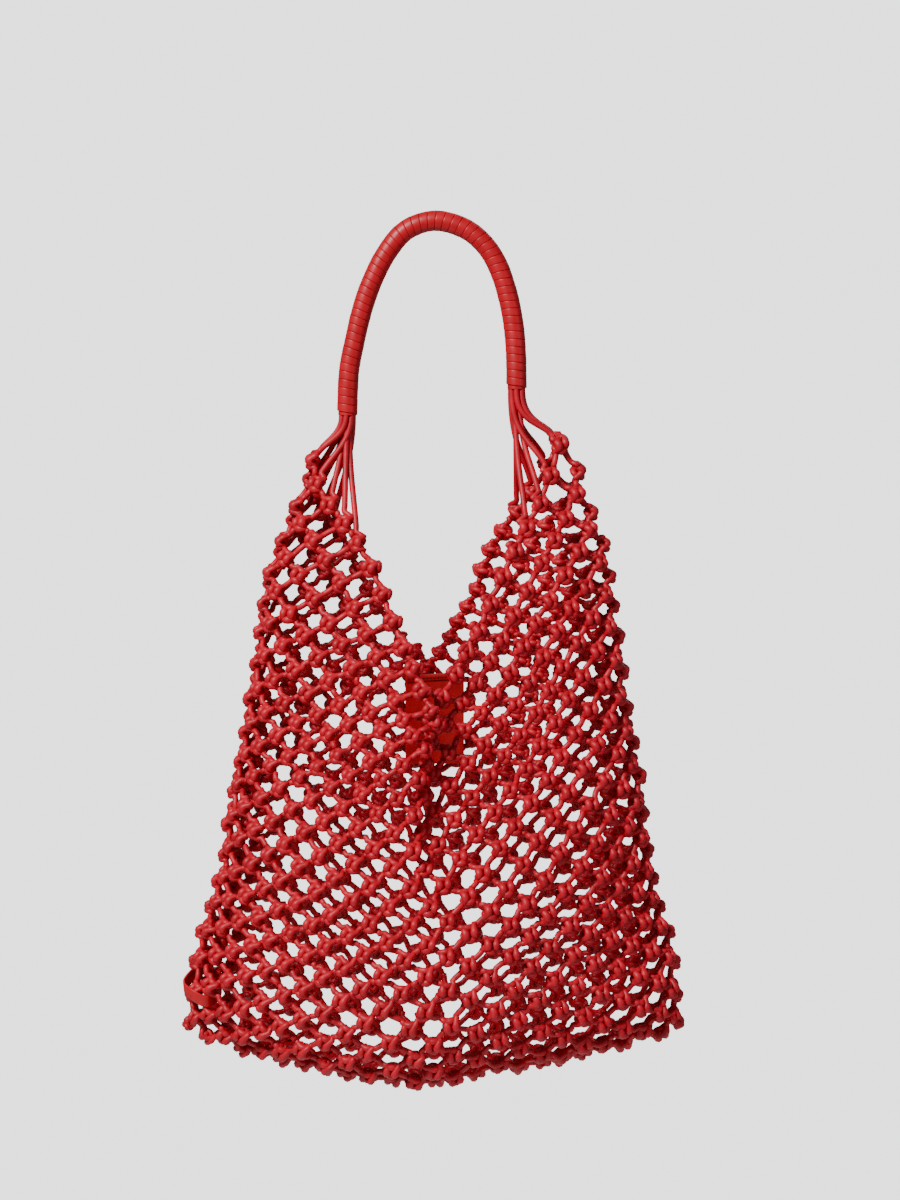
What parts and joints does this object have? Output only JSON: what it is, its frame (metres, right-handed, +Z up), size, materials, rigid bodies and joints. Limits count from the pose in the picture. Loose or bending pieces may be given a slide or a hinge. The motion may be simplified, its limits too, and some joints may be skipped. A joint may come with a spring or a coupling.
{
  "type": "net shoulder bag",
  "caption": "Open net shoulder bag of knotted round leather cord with a deep V mouth, two peaks gathered into one wrapped tubular handle, an inner patch and a side loop tab.",
  "frame": {"origin": "the middle of the handle's crown, on the tube's centre line, where a hand holds the bag", "axes": "+Z up, +X to the right side of the bag seen from the front, -Y towards the front"},
  "size_m": [0.321, 0.1554, 0.5575],
  "materials": {
    "net_cord": "round red leather cord, softly glossy, darker in the creases",
    "handle_wrap": "flat red leather strip wound in close turns, satin",
    "patch_leather": "flat deep red leather with a fine grain, satin",
    "tab_leather": "flat red leather strip with a smooth face, satin"
  },
  "bodies": {
    "root": {"net": "net_cord", "handle": "handle_wrap", "inner_patch": "patch_leather", "side_tab": "tab_leather"}
  },
  "joints": []
}
